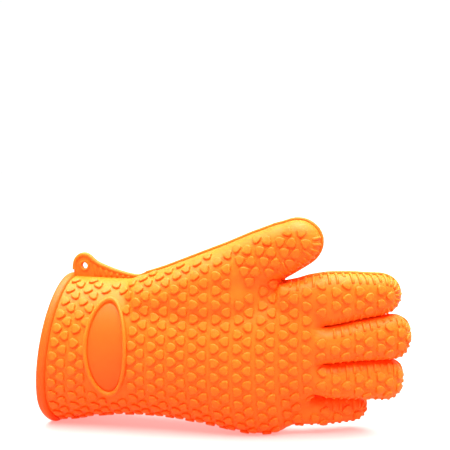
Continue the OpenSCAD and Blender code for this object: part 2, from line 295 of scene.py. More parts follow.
def make(name, shape, smooth_faces=True, fix_normals=False):
    me = bpy.data.meshes.new(name)
    me.from_pydata(to_row(np.concatenate(shape.v)).tolist(), [], shape.f)
    if fix_normals:
        bm = bmesh.new()
        bm.from_mesh(me)
        bmesh.ops.recalc_face_normals(bm, faces=bm.faces)
        bm.to_mesh(me)
        bm.free()
    me.polygons.foreach_set("use_smooth", [smooth_faces] * len(me.polygons))
    me.update()
    ob = bpy.data.objects.new(name, me)
    bpy.context.scene.collection.objects.link(ob)
    return ob


def arrays(me):
    v = np.zeros(len(me.vertices) * 3)
    me.vertices.foreach_get("co", v)
    quads = np.array([tuple(p.vertices) for p in me.polygons], int)
    e = np.zeros(len(me.edges) * 2, np.int32)
    me.edges.foreach_get("vertices", e)
    return v.reshape(-1, 3) * 1000 + MID, quads, e.reshape(-1, 2)


def relax(v, edges, rounds, weight):
    n = len(v)
    deg = np.bincount(edges.ravel(), minlength=n)[:, None]
    for _ in range(rounds):
        s = np.stack([np.bincount(edges[:, 0], v[edges[:, 1], c], n)
                      + np.bincount(edges[:, 1], v[edges[:, 0], c], n) for c in range(3)], 1)
        v = v + weight * (s / deg - v)
    return v


def spread_mask(m, edges, rounds):
    n = len(m)
    deg = np.bincount(edges.ravel(), minlength=n)
    for _ in range(rounds):
        s = np.bincount(edges[:, 0], m[edges[:, 1]], n) + np.bincount(edges[:, 1], m[edges[:, 0]], n)
        m = np.maximum(m, 0.5 * m + 0.5 * s / deg)
    return m


def vertex_normals(v, faces):
    """Area-weighted vertex normals of a mesh whose faces are tuples of three or more corners."""
    n = np.zeros_like(v)
    sizes = {}
    for f in faces:
        sizes.setdefault(len(f), []).append(f)
    for k, fs in sizes.items():
        fs = np.array(fs, int)
        a = np.zeros((len(fs), 3))
        for i in range(k):
            a += np.cross(v[fs[:, i]], v[fs[:, (i + 1) % k]])
        for i in range(k):
            for c in range(3):
                n[:, c] += np.bincount(fs[:, i], a[:, c], len(v))
    return unit(n)


# ---------------------------------------------------------------- the skin
def open_gaps(p):
    """Moves points apart along Z at the gaps, so that the remesh leaves the fingers apart."""
    p = p.copy()
    shift = np.zeros(len(p))
    for k, (_, a, b) in enumerate(GAPS):
        shift += OPEN * step(a, b, p[:, 0]) * (step(-BAND, BAND, p[:, 2] - gap_z(k, p[:, 0])) - 0.5)
    p[:, 2] += shift
    return p


def close_gaps(p):
    """Inverse of open_gaps, by bisection on z."""
    lo, hi = p[:, 2] - 12, p[:, 2] + 12
    for _ in range(44):
        mid = (lo + hi) / 2
        q = p.copy()
        q[:, 2] = mid
        high = open_gaps(q)[:, 2] > p[:, 2]
        hi, lo = np.where(high, mid, hi), np.where(high, lo, mid)
    p = p.copy()
    p[:, 2] = (lo + hi) / 2
    return p


def closed_tube(shape, rings):
    """A tube of rings with a centre point closing each end."""
    m, k = len(rings[0]), len(rings)
    ends = np.stack([rings[0].mean(0), rings[-1].mean(0)])
    faces = []
    for i in range(k - 1):
        for j in range(m):
            j2 = (j + 1) % m
            faces.append((i * m + j, i * m + j2, (i + 1) * m + j2, (i + 1) * m + j))
    for j in range(m):
        j2 = (j + 1) % m
        faces.append((k * m, j2, j))
        faces.append((k * m + 1, (k - 1) * m + j, (k - 1) * m + j2))
    shape.add(np.concatenate(rings + [ends]), faces)


# the thumb's root runs over into the palm: x, half thickness, half height, z
ROOT = [(66, 18, 9, 86), (72, 22, 11, 88), (86, 25, 15, 88), (104, 24.5, 21, 89), (120, 21.5, 23, 91),
        (133, 18, 21, 93), (142, 14.5, 17, 94), (147, 11, 13, 96), (151, 8.5, 10, 98.5), (155.5, 5.5, 7, 101),
        (157, 2, 3, 101.5)]
# the knuckles run over into the fingers: x, half thickness, half height, all at one z
WEB = [(158, 12.6, 33), (166, 13.2, 36), (173, 12.6, 37.5), (178, 11, 38), (181.5, 8, 38), (183.5, 4.5, 37),
       (184.2, 1.5, 36)]
WEB_Z = 68


def build_skin():
    """Outer surface of the whole glove: the overlapping tubes remeshed into one and eased where they meet."""
    raw = Shape()
    th = np.linspace(0, 2 * PI, 96, endpoint=False)
    rings = [hand_ring(x, th, SKIN) for x in np.arange(-24, PALM_END + 0.1, 4)]
    for k in range(1, 8):
        a = PI / 2 * k / 8
        rings.append(hand_ring(PALM_END, th, SKIN - 9 * (1 - math.cos(a))) + [6.5 * math.sin(a), 0, 0])
    for r in rings:  # the palm ends further back on the little-finger side
        low = step(44, 10, r[:, 2])
        r[:, 0] -= 11 * low * step(156, 178, r[:, 0])
    closed_tube(raw, rings)
    th = np.linspace(0, 2 * PI, 40, endpoint=False)
    for fill in ([(*row, WEB_Z) for row in WEB], ROOT):
        closed_tube(raw, [np.stack([np.full_like(th, x), t * np.sin(th), z + a * np.cos(th)], -1)
                          for x, t, a, z in fill])
    for f in FINGERS.values():
        start = -22 if f is FINGERS["thumb"] else 0
        closed_tube(raw, finger_rings(f, start, SKIN, 48))
    raw.v = [open_gaps(np.concatenate(raw.v))]
    ob = make("raw", raw)
    mod = ob.modifiers.new("voxels", "REMESH")
    mod.mode = "VOXEL"
    mod.voxel_size = VOXEL * 0.001
    mod.adaptivity = 0
    dg = bpy.context.evaluated_depsgraph_get()
    me = bpy.data.meshes.new_from_object(ob.evaluated_get(dg))
    v, quads, edges = arrays(me)
    bpy.data.objects.remove(ob)
    bpy.data.meshes.remove(me)
    v = relax(v, edges, 5, 0.5)
    n = vertex_normals(v, quads)
    hollow = np.einsum("ij,ij->i", relax(v, edges, 1, 1.0) - v, n)
    mask = spread_mask((hollow > 0.05).astype(float), edges, 6)
    mask = np.clip(mask * 1.6, 0, 1)[:, None]
    for _ in range(26):
        v = v + mask * (relax(v, edges, 1, 0.6) - v)
    v = relax(v, edges, 4, 0.5)
    v = close_gaps(v)
    # the smoothing has thinned the fingers a little
    v = v + (0.4 * step(180, 192, v[:, 0]) * step(0, 8, 150 - v[:, 2]))[:, None] * vertex_normals(v, quads)
    v[:, 2] = np.maximum(v[:, 2], 0.05)
    return v, quads


def plane_a(f):
    """Point and direction of the plane where the bend at the finger's root starts."""
    a, b, lean = f["zone_a"]
    p, q, across = bare(f, a)[0], bare(f, b)[0], bare(f, a)[2]
    d = unit(math.cos(math.radians(lean)) * unit(q - p) + math.sin(math.radians(lean)) * across)
    return p, d, b - a


def plane_b(f):
    a, b = f["zone_b"]
    p, q = bare(f, a)[0], bare(f, b)[0]
    return p, unit(q - p), b - a


CUTS = {}
for name, f in FINGERS.items():
    pa, da, la = plane_a(f)
    pb, db, lb = plane_b(f)
    mid = bare(f, (f["zone_a"][1] + f["zone_b"][0]) / 2)[0]
    CUTS[name] = (pa - 0.6 * da, da, mid, unit(da + db))


def owner(p):
    """Which finger's slab a point is in; points of the palm get the nearest one too."""
    x, z = p[..., 0], p[..., 2]
    g = [gap_z(k, x) for k in range(4)]
    k = np.where(z > g[0], 0, np.where(z > g[1], 1, np.where(z > g[2], 2, 3)))
    return np.where(z > g[3], 4, k)


def place_of(p):
    """Piece key of a point: hand, or (finger, sleeve or tip)."""
    name = NAMES[int(owner(np.asarray(p)))]
    o1, n1, o2, n2 = CUTS[name]
    if (p - o1) @ n1 < 0:
        return "hand"
    return name + ("_tip" if (p - o2) @ n2 > 0 else "_sleeve")


def cut_skin(v, quads):
    """Opens the skin at the cuff mouth and adds edges along the planes where pieces meet."""
    bm = bmesh.new()
    verts = [bm.verts.new(p) for p in v]
    for q in quads:
        bm.faces.new([verts[i] for i in q])
    lean = math.atan(MOUTH_LEAN / CUFF_H)
    bmesh.ops.bisect_plane(bm, geom=bm.verts[:] + bm.edges[:] + bm.faces[:], dist=1e-5,
                           plane_co=(MOUTH_X + 1, 0, 0), plane_no=(math.cos(lean), 0, -math.sin(lean)),
                           clear_inner=True)
    for k, name in enumerate(NAMES):
        o1, n1, o2, n2 = CUTS[name]
        for o, n in ((o1, n1), (o2, n2)):
            centres = np.array([f.calc_center_median() for f in bm.faces])
            near = (owner(centres) == k) & (abs((centres - o) @ n) < 3)
            bm.faces.ensure_lookup_table()
            faces = [bm.faces[i] for i in np.nonzero(near)[0]]
            if not faces:
                continue
            es = list({e for f in faces for e in f.edges})
            vs = list({p for f in faces for p in f.verts})
            bmesh.ops.bisect_plane(bm, geom=vs + es + faces, dist=1e-5,
                                   plane_co=Vector(o), plane_no=Vector(n))
    bm.verts.ensure_lookup_table()
    bm.verts.index_update()
    out_v = np.array([p.co for p in bm.verts])
    out_f = [tuple(p.index for p in f.verts) for f in bm.faces]
    bm.free()
    return out_v, out_f


def walls(shape, v, n, faces):
    """A piece of the skin with its inner wall and the strip that joins the two round its open edges."""
    used = np.unique(np.concatenate([np.array(f) for f in faces]))
    index = {int(o): i for i, o in enumerate(used)}
    outer = [tuple(index[i] for i in f) for f in faces]
    count = len(used)
    inner = [tuple(i + count for i in reversed(f)) for f in outer]
    once = {}
    for f in outer:
        for a, b in zip(f, f[1:] + f[:1]):
            if (b, a) in once:
                del once[(b, a)]
            else:
                once[(a, b)] = True
    rim = [(b, a, a + count, b + count) for a, b in once]
    shape.add(np.concatenate([v[used], v[used] - WALL * n[used]]), outer + inner + rim)
    return len(outer) + len(inner), len(rim)


# ---------------------------------------------------------------- details on the skin
skin_v, skin_quads = build_skin()
tree = BVHTree.FromPolygons(skin_v.tolist(), skin_quads.tolist())


def drop(p, n, reach=7.0):
    """Point and normal where the skin meets the line through p along n."""
    p, n = np.asarray(p, float), np.asarray(n, float)
    hit, normal, _, _ = tree.ray_cast(Vector(p + reach * n), Vector(-n), 2 * reach)
    if hit is None:
        hit, normal, _, _ = tree.find_nearest(Vector(p))
    return np.array(hit), np.array(normal)


def shoot(centre, direction):
    """Where a line from inside the glove leaves it."""
    hit, normal, _, _ = tree.ray_cast(Vector(centre), Vector(unit(direction)), 200)
    return (None, None) if hit is None else (np.array(hit), np.array(normal))


HEART = [(3.3, 0), (3.1, 0.6), (2.4, 1.5), (1.3, 2.4), (0.0, 3.05), (-1.3, 3.25), (-2.3, 2.85), (-2.95, 1.95),
         (-3.0, 1.0), (-2.75, 0)]
HEART = np.array(HEART + [(u, -w) for u, w in HEART[-2:0:-1]])
NUB_SIZE, NUB_H = 0.95, 1.5


def nub(shape, p, n, along, size=NUB_SIZE, height=NUB_H):
    """A flat-topped heart standing on the skin; its point looks along."""
    u = unit(along - (along @ n) * n)
    w = np.cross(n, u)
    base, normals = [], []
    for a, b in HEART * size:
        h, m = drop(p + a * u + b * w, n)
        if np.linalg.norm(h - p) > 5.2 * size:
            return False
        base.append(h)
        normals.append(unit(0.5 * n + 0.5 * m))
    base, normals = np.array(base), np.array(normals)
    profile = ((1.08, -0.45), (1.0, 0.7), (0.91, 0.96), (0.78, 1.0))  # shares of the outline and the height
    rings = [p + (base - p) * s + normals * (h * height) for s, h in profile]
    m = len(base)
    faces = []
    for i in range(3):
        for j in range(m):
            j2 = (j + 1) % m
            faces.append((i * m + j, i * m + j2, (i + 1) * m + j2, (i + 1) * m + j))
    faces += [(3 * m + j, 3 * m + (j + 1) % m, 4 * m) for j in range(m)]
    faces.append(tuple(reversed(range(m))))
    shape.add(np.concatenate(rings + [(p + n * height * 1.02)[None]]), faces)
    return True


def rib(shape, pts, normals, side, width=1.65, height=1.05):
    """A low rounded rib along points on the skin, sunk at both ends."""
    rings = []
    for i, (p, n) in enumerate(zip(pts, normals)):
        h = height if 0 < i < len(pts) - 1 else -0.2
        prof = ((-0.72, -0.45), (-0.5, 0.62 * h), (-0.22, h), (0.22, h), (0.5, 0.62 * h), (0.72, -0.45))
        rings.append(np.array([p + side * (u * width) + n * k for u, k in prof]))
    shape.loft(rings)


def tube(shape, pts, radius, ref, m=10, caps=True, keep=None, radii=None):
    """A round bead along points; keep picks a stretch, so that stretches of one line meet exactly."""
    pts = np.asarray(pts, float)
    t = unit(np.gradient(pts, axis=0))
    ref = np.broadcast_to(np.asarray(ref, float), pts.shape)
    a = unit(ref - np.einsum("ij,ij->i", ref, t)[:, None] * t)
    b = np.cross(t, a)
    r = np.full(len(pts), radius) if radii is None else np.asarray(radii)
    rings = [p + r[i] * (np.outer(np.cos(th), a[i]) + np.outer(np.sin(th), b[i]))
             for th in [np.linspace(0, 2 * PI, m, endpoint=False)] for i, p in enumerate(pts)]
    lo, hi = keep or (0, len(pts))
    shape.loft(rings[lo:hi], caps=caps)


def resample(p, pitch):
    """The same line with points at an even pitch."""
    p = np.asarray(p, float)
    d = np.concatenate([[0], np.cumsum(np.linalg.norm(np.diff(p, axis=0), axis=1))])
    n = max(2, int(round(d[-1] / pitch)) + 1)
    s = np.linspace(0, d[-1], n)
    return np.stack([np.interp(s, d, p[:, c]) for c in range(3)], 1)


def settle(p, pitch, rounds=4):
    """Evens out a line on the skin: resampled, smoothed and put back on the skin."""
    p = resample(p, pitch)
    for _ in range(rounds):
        q = p.copy()
        q[1:-1] = (p[:-2] + p[1:-1] * 2 + p[2:]) / 4
        p = np.array([tree.find_nearest(Vector(x))[0] for x in q])
    return p


shapes = {"hand": Shape()}
for name in NAMES:
    shapes[name + "_sleeve"], shapes[name + "_tip"] = Shape(), Shape()


def outline(f, start_up, start_low):
    """Seam line of a finger from its lower edge round the tip to its upper edge: centre, outwards, section."""
    flat = f["length"] - cap_r(f)
    rows = [(section(f, s)[0], -section(f, s)[2], section(f, s)) for s in np.arange(start_low, flat, 2.0)]
    sec = section(f, flat)
    for a in np.linspace(-PI / 2, PI / 2, 17):
        rows.append((sec[0], math.cos(a) * sec[1] + math.sin(a) * sec[2], sec))
    for s in np.arange(start_up, flat, 2.0)[::-1]:
        q = section(f, s)
        rows.append((q[0], q[2], q))
    return rows


def edge_pt(x, top):
    """Point of the palm tube's top or bottom edge at x."""
    z, k = smooth(x, HAND, 2 if top else 1), smooth(x, HAND, 4)
    return np.array([x, k * (z - ARCH_Z) ** 2 / 2, z])


# seam lines: the edge of the hand towards the thumb, and the edge it stands on
thumb = FINGERS["thumb"]
top_seam = [shoot((x, 0, 70), (0, 0, 1))[0] for x in np.arange(6, 58, 4.0)]
top_seam += [shoot(section(thumb, s)[0], section(thumb, s)[2])[0] for s in np.arange(-14, 60, 4.0)]
top_seam = resample(top_seam, 2.0)
bottom_seam = resample([tree.find_nearest(Vector(edge_pt(x, False)))[0] for x in np.arange(0, 160, 5.0)], 2.5)


def far_from(p, line, d):
    return np.linalg.norm(line - p, axis=1).min() >= d


BADGE_X, BADGE_Z, BADGE_W, BADGE_H = 46.8, 58.5, 30.4, 65.4


def back_pt(x, z, g):
    """Point on the back of the cuff at x, z, moved outwards by g."""
    zl, zh, b = (smooth(x, HAND, c) for c in (1, 2, 3))
    u = (2 * z - zl - zh) / (zh - zl)
    return np.array([x, -(b + g) * math.sqrt(1 - u * u), z + g * u])


def badge_pt(t, inset, g):
    """Point of the badge's oval at angle t, this far inside its outline and this far off the cuff."""
    return back_pt(BADGE_X + (BADGE_W / 2 - inset) * math.cos(t),
                   BADGE_Z + (BADGE_H / 2 - inset) * math.sin(t), g)


def on_badge(p, grow):
    """Whether p lies on the badge, grown by this much all round."""
    u, w = (p[0] - BADGE_X) / (BADGE_W / 2 + grow), (p[2] - BADGE_Z) / (BADGE_H / 2 + grow)
    return p[1] < 0 and u ** 2 + w ** 2 < 1


# nubs on the hand: columns round the section, in pairs that look at each other
PAIR, HALF, ROUND_PITCH, ROW_Z = 14.4, 6.0, 9.45, 52.2
THUMB_FROM = 128.5  # past this x the pattern turns to follow the thumb
THUMB_PITCH, THUMB_ROW = 8.0, -2.5
placed = []


def free(p, d=6.4):
    """Whether no nub stands nearer to p than d."""
    return not placed or np.linalg.norm(np.array(placed) - p, axis=1).min() >= d


def hand_nubs():
    """Nubs on palm and cuff, in columns whose rows start from one height on both sides."""
    for col in range(0, 27):
        x = 4.2 + PAIR * (col // 2) + (HALF if col % 2 else 0)
        if x > 178:
            break
        lean = MOUTH_LEAN * max(0.0, 1 - x / 105)
        centre = np.array([x + lean * 0.5, smooth(min(x, 170), HAND, 4) * 200, 55.0])
        along = np.array([1.0, 0, 0]) if col % 2 == 0 else np.array([-1.0, 0, 0])
        pts, nrm = [], []
        for a in np.linspace(0, 2 * PI, 260, endpoint=False):
            d = np.array([lean / CUFF_H * math.cos(a), -math.sin(a), math.cos(a)])
            p, n = shoot(centre, d)
            if p is None:
                p, n = pts[-1], nrm[-1]
            pts.append(p)
            nrm.append(n)
        pts = np.array(pts)
        d = np.linalg.norm(np.roll(pts, -1, 0) - pts, axis=1)
        total = d.sum()
        arc = np.concatenate([[0], np.cumsum(d)[:-1]])
        for side in (1, -1):
            zone = np.arange(10, 125) if side > 0 else np.arange(135, 250)
            ref = zone[np.argmin(abs(pts[zone, 2] - ROW_Z))]
            slope = (arc[ref + 1] - arc[ref - 1]) / (pts[ref + 1, 2] - pts[ref - 1, 2])
            start = arc[ref] + (ROW_Z - pts[ref, 2]) * slope
            for k in range(-9, 10):
                want = (start + (k + (0.5 if col % 2 else 0)) * ROUND_PITCH) % total
                j = int(np.searchsorted(arc, want) % len(arc))
                p, n = pts[j], np.array(nrm[j])
                if (p[1] < edge_side(p)) != (side > 0):
                    continue
                i0 = (j - 1) % len(arc)
                t = (want - arc[i0]) / max(d[i0], 1e-6) if want >= arc[i0] else 0.5
                p = pts[i0] + (pts[j] - pts[i0]) * min(max(t, 0), 1)
                if not far_from(p, top_seam, 9.2) or not far_from(p, bottom_seam, 4.4):
                    continue
                if on_badge(p, 1.2) or not free(p):
                    continue
                if p[2] > 95 and p[0] > THUMB_FROM - 1.5 and p[2] > 95 + 0.5 * (p[0] - THUMB_FROM):
                    continue
                if NAMES[int(owner(p))] != "thumb" and place_of(p) != "hand":
                    continue
                if abs(n[0]) > 0.75 or not far_from(p, palm_edge, 8.8) or not far_from(p, index_edge, 8.8):
                    continue
                if nub(shapes[place_of(p)], p, n, along):
                    placed.append(p)


def edge_side(p):
    """Y of the arched middle of the hand at p; what has less is on the back."""
    k = smooth(min(p[0], PALM_END), HAND, 4)
    return k * (min(p[2], ARCH_Z) - ARCH_Z) ** 2 / 2 - 0.5


def finger_nubs(name, f):
    """Nubs on both faces of a finger, with room for its ribs."""
    flat = f["length"] - cap_r(f)
    end = flat + cap_r(f) * 0.66
    for side in (1, -1):
        for col in range(-1, 24):
            s = f["start"] + PAIR * (col // 2) + (HALF if col % 2 else 0)
            if s > end:
                break
            c, d, across, back = section(f, min(s, flat))
            w = widths(f, min(s, flat), SKIN)[0]
            e = max(0.0, s - flat) / cap_r(f)
            w *= math.sqrt(1 - e * e)
            margin = 0.5 if name == "thumb" else 1.2
            room = [w + 1] * 2 if col < 0 else [w - r * 0.5 - margin for r in f["ribs"]]
            for k in range(-8, 9):
                row = k + (0.5 if col % 2 else 0)
                # the fingers carry on the rows of the palm, the thumb has its own
                pos = (row * THUMB_PITCH + THUMB_ROW if name == "thumb"
                       else (ROW_Z + row * ROUND_PITCH - c[2]) / across[2])
                if pos > room[0] or -pos > room[1]:
                    continue
                p, n = shoot(c + across * pos * 0.93 + d * e * cap_r(f), side * back)
                if p is None or not free(p, 6.2) or n @ (side * back) < 0.45:
                    continue
                if name == "thumb" and (p[0] < THUMB_FROM + 1.5 or p[2] < 95
                                        or not far_from(p, top_seam, 4.8)):
                    continue
                if name != "thumb" and NAMES[int(owner(p))] != name:
                    continue
                if nub(shapes[place_of(p)], p, n, d if col % 2 == 0 else -d):
                    placed.append(p)


def finger_trim(name, f):
    """Seam bead round the finger and the ribs that run down from it on both faces."""
    low = {"index": 30, "middle": 30, "ring": 28, "little": 20, "thumb": 57}[name]
    up = {"index": 5, "middle": 30, "ring": 30, "little": 30, "thumb": 46}[name]
    rows = outline(f, up, low)
    across = bare(f, f["length"])[2]
    pts, outs, secs = [], [], []
    for c, o, sec in rows:
        p, n = shoot(c, o)
        if p is not None and np.linalg.norm(p - c) < 26:  # further off it would be the palm's other side
            pts.append(p)
            outs.append(o)
            secs.append(sec)
    pts, outs = np.array(pts), np.array(outs)
    centre = np.array([s[0] for s in secs])
    back = np.array([s[3] for s in secs])
    # insert the points where the line crosses a plane between two pieces
    o1, n1, o2, n2 = CUTS[name]
    new_p, new_b, new_o = [pts[0]], [back[0]], [outs[0]]
    for i in range(1, len(pts)):
        for o, n in ((o1, n1), (o2, n2)):
            a, b = (pts[i - 1] - o) @ n, (pts[i] - o) @ n
            if a * b < 0:
                t = a / (a - b)
                new_p.append(pts[i - 1] + (pts[i] - pts[i - 1]) * t)
                new_b.append(back[i - 1])
                new_o.append(outs[i - 1])
        new_p.append(pts[i])
        new_b.append(back[i])
        new_o.append(outs[i])
    line, refs, outw = np.array(new_p), np.array(new_b), np.array(new_o)
    # the bead is slimmer where a neighbour lies against it
    lie = outw @ across
    above, below = name in ("middle", "ring", "little"), name in ("index", "middle", "ring")
    near = np.where(lie > 0, above, below) * step(0.7, 1.0, abs(lie))
    line = line + (0.4 - 0.85 * near)[:, None] * outw
    radii = 1.3 - np.where(lie > 0, 0.35, 0.8) * near
    rim_lie = outs @ across
    facing = set(np.nonzero(np.where(rim_lie > 0, above, below) * (abs(rim_lie) > 0.8))[0].tolist())
    mids = (line[1:] + line[:-1]) / 2
    keys = ["hand" if (m - o1) @ n1 < 0 else name + ("_tip" if (m - o2) @ n2 > 0 else "_sleeve")
            for m in mids]
    lo = 0
    for i in range(1, len(keys) + 1):
        if i == len(keys) or keys[i] != keys[lo]:
            tube(shapes[keys[lo]], line, 1.2, refs, keep=(lo, i + 1), radii=radii)
            lo = i
    # ribs
    d = np.concatenate([[0], np.cumsum(np.linalg.norm(np.diff(pts, axis=0), axis=1))])
    tip_d = d[np.argmax((pts - o2) @ n2)]
    for q in np.arange(3.0, d[-1] - 2, 4.7):
        i = min(int(np.searchsorted(d, q)), len(pts) - 1)
        t = (q - d[i - 1]) / max(d[i] - d[i - 1], 1e-6)
        c = centre[i - 1] + (centre[i] - centre[i - 1]) * t
        o = unit(outs[i - 1] + (outs[i] - outs[i - 1]) * t)
        bk = unit(back[i - 1] + (back[i] - back[i - 1]) * t)
        edge = pts[i - 1] + (pts[i] - pts[i - 1]) * t
        if name == "thumb" and q > tip_d - 2:
            continue
        across_line = unit(pts[i] - pts[i - 1])
        reach = np.linalg.norm(edge - c)
        start, ahead = section(f, 0)[:2]
        thick = widths(f, min(max((c - start) @ ahead, 0), f["length"] - cap_r(f)), SKIN)[1]
        for side in (1, -1):
            rp, rn = [], []
            length = f["ribs"][0] if o @ across > 0.5 else f["ribs"][1] if o @ across < -0.5 else 7.0
            last = math.atan((max(1 - length / reach, 0.12) ** -2.6 - 1) ** (1 / 2.6))
            first = 0.5 if i in facing else 0.07
            for a in np.linspace(first, last, 8):
                p, n = shoot(c, math.cos(a) * o * reach + side * math.sin(a) * bk * thick)
                if p is None:
                    break
                rp.append(p)
                rn.append(n)
            keep = 0
            while keep < len(rp) and free(rp[keep], 3.9):
                keep += 1
            if keep < 4:
                continue
            height = 0.8 if o @ across < -0.5 and name != "thumb" else 1.05
            rib(shapes[place_of(rp[3])], rp[:keep], rn[:keep], across_line, height=height)


def finger_edge(f, s, side):
    """Point of the skin at a finger's edge, to the thumb side (1) or the other one (-1)."""
    c, _, across, _ = section(f, s)
    return shoot(c, side * across)[0]


# edges that the nubs of the palm keep off
palm_edge = [shoot((x, 0.3, 84), (0, 0, 1))[0] for x in np.arange(152.0, 172, 1.5)]
palm_edge = np.array([p for p in palm_edge if p[2] < 112])
index_edge = np.array([finger_edge(FINGERS["index"], s, 1) for s in np.arange(8.0, 40, 2.0)])

hand_nubs()
for name, f in FINGERS.items():
    finger_nubs(name, f)
for name, f in FINGERS.items():
    finger_trim(name, f)

# seam from the thumb's lower edge round the crotch to the index finger
crotch = [p for s in np.arange(74, 60, -1.5) for p in [finger_edge(thumb, s, -1)]
          if np.linalg.norm(p - section(thumb, s)[0]) < 24]
crotch += [p for p in palm_edge]
crotch += [finger_edge(FINGERS["index"], s, 1) for s in np.arange(17, 27, 2.0)]
crotch = settle(crotch, 1.6, 4)
tube(shapes["hand"], crotch + [0, 0, 0.3], 1.2, (0, -1, 0))

# the skin itself
cut_v, cut_f = cut_skin(skin_v, skin_quads)
cut_n = vertex_normals(cut_v, cut_f)
groups = {k: [] for k in shapes}
for face in cut_f:
    groups[place_of(cut_v[list(face)].mean(0))].append(face)
rims, lit = {}, {}
for key, faces in groups.items():
    before, first = len(shapes[key].f), shapes[key].n
    smooth_count, rim_count = walls(shapes[key], cut_v, cut_n, faces)
    rims[key] = (before + smooth_count, before + smooth_count + rim_count)
    used = np.unique(np.concatenate([np.array(f) for f in faces]))
    lit[key] = np.concatenate([np.zeros((first, 3)), cut_n[used], -cut_n[used]])


# ---------------------------------------------------------------- hem, tab, badge, beads
def hem_shape():
    """Thick rounded band round the mouth."""
    sh = Shape()
    lean = math.atan(MOUTH_LEAN / CUFF_H)
    axial = np.array([math.cos(lean), 0, -math.sin(lean)])
    th = np.linspace(0, 2 * PI, 120, endpoint=False)

    def contour(g):
        pts = []
        for a in th:
            z = 50.0
            for _ in range(6):
                x = MOUTH_X + MOUTH_LEAN * z / CUFF_H
                q = hand_ring(x, np.array([a]), g)[0]
                z = q[2]
            pts.append(np.array([MOUTH_X + MOUTH_LEAN * z / CUFF_H, q[1], z]))
        return np.array(pts)

    base, out = contour(0.0), contour(1.0)
    outward = unit(out - base)
    # profile: outward, along the glove
    prof = [(-2.9, 0.9), (-2.5, 0.25), (-1.6, 0.0), (0.1, 0.0), (0.95, 0.25), (1.4, 0.95), (1.5, 2.0),
            (1.5, 3.6), (1.25, 4.6), (0.6, 5.3), (-0.3, 5.7), (-1.0, 5.9), (-2.2, 5.9), (-2.75, 5.6),
            (-2.95, 4.6), (-3.0, 2.5)]
    rings = [base + outward * a + axial * b for a, b in prof]
    rings = [np.array([r[i] for r in rings]) for i in range(len(th))]
    sh.loft(rings, loop=True)
    for arr in sh.v:
        arr[:, 2] = np.maximum(arr[:, 2], 0.0)
    return sh


TAB_X, TAB_Z, TAB_R, TAB_LEN, HOLE_R = 19.0, CUFF_H + 6.6, 9.0, 52.0, 2.15


def tab_slope(t):
    drop_to_cuff = (TAB_R - 0.6) * max(0.0, 1 - t) ** 2.2 - 4.4 * t
    return np.array([TAB_X + t * (TAB_LEN - 12), TAB_Z - 0.6 + drop_to_cuff])


def tab_outline(inset):
    """Edge of the tab from the hem over its round end to where it runs out on the cuff, in x and z."""
    r = TAB_R - inset
    pts = [(TAB_X - r, CUFF_H - 2.5), (TAB_X - r, TAB_Z - 3), (TAB_X - r, TAB_Z)]
    pts += [(TAB_X - r * math.cos(a), TAB_Z + r * math.sin(a)) for a in np.linspace(0.15, PI / 2 + 0.28, 14)]
    for t in np.linspace(0.2, 1.0, 22):
        p, q = tab_slope(t), tab_slope(min(t + 0.01, 1.01))
        d = unit(q - p)
        pts.append((p[0] + d[1] * inset, p[1] - d[0] * inset))
    return np.array(pts)


def tab_shape():
    sh = Shape()
    # panel with the hole, as two faces and an edge, made from a fan of strips between hole and outline
    outer = tab_outline(1.0)
    bottom_x = np.linspace(outer[-1, 0], outer[0, 0], 20)[1:-1]
    loop = np.concatenate([outer, np.stack([bottom_x, np.full_like(bottom_x, CUFF_H - 2.5)], 1)])
    ang = np.unwrap(np.arctan2(loop[:, 1] - TAB_Z, loop[:, 0] - TAB_X))
    hole = np.stack([TAB_X + HOLE_R * np.cos(ang), TAB_Z + HOLE_R * np.sin(ang)], 1)
    rings = []
    strips = (0, 0.12, 0.4, 0.7, 1.0)
    for half, frac in [(1.15, k) for k in strips] + [(-1.15, k) for k in strips[::-1]]:
        q = hole + (loop - hole) * frac
        rings.append(np.stack([q[:, 0], np.full(len(q), -half), q[:, 1]], 1))
    sh.loft(rings, loop=True)
    # rim bead over the edge, running out along the cuff's top edge
    rim = [np.array([x, 0.0, z]) for x, z in tab_outline(1.3)[1:]]
    rim += [p + [0, 0, 0.1] for p in top_seam[(top_seam[:, 0] > 63) & (top_seam[:, 0] < 74)]]
    rim = resample(rim, 1.6)
    for _ in range(3):
        rim[1:-1] = (rim[:-2] + 2 * rim[1:-1] + rim[2:]) / 4
    r = np.interp(np.arange(len(rim)), [0, 4, len(rim) * 0.55, len(rim) - 1], [1.9, 1.85, 1.7, 1.25])
    tube(sh, rim, 1.8, (0, -1, 0), m=14, radii=r)
    # raised ring round the hole
    prof = [(HOLE_R, -1.35), (HOLE_R, 1.35), (HOLE_R + 0.3, 1.65), (3.2, 1.75), (3.7, 1.6), (3.9, 1.1),
            (3.9, -1.1), (3.7, -1.6), (3.2, -1.75), (HOLE_R + 0.3, -1.65)]
    rings = []
    for a in np.linspace(0, 2 * PI, 40, endpoint=False):
        rings.append(np.array([[TAB_X + r * math.cos(a), y, TAB_Z + r * math.sin(a)] for r, y in prof]))
    sh.loft(rings, loop=True)
    # upright ribs on both faces
    for i in range(1, 10):
        x = TAB_X + 4.4 + 4.1 * i - 0.7
        t = (x - TAB_X) / (TAB_LEN - 12)
        if t > 0.98:
            break
        z1 = tab_slope(t)[1] - 1.6
        z0 = CUFF_H - 1.5
        if z1 - z0 < 2:
            continue
        for side in (-1, 1):
            zs = np.linspace(z0, z1, 5)
            pts = [np.array([x, side * 1.1, z]) for z in zs]
            rib(sh, pts, [np.array([0, float(side), 0])] * 5, np.array([1.0, 0, 0]), 1.7, 0.75)
    return sh


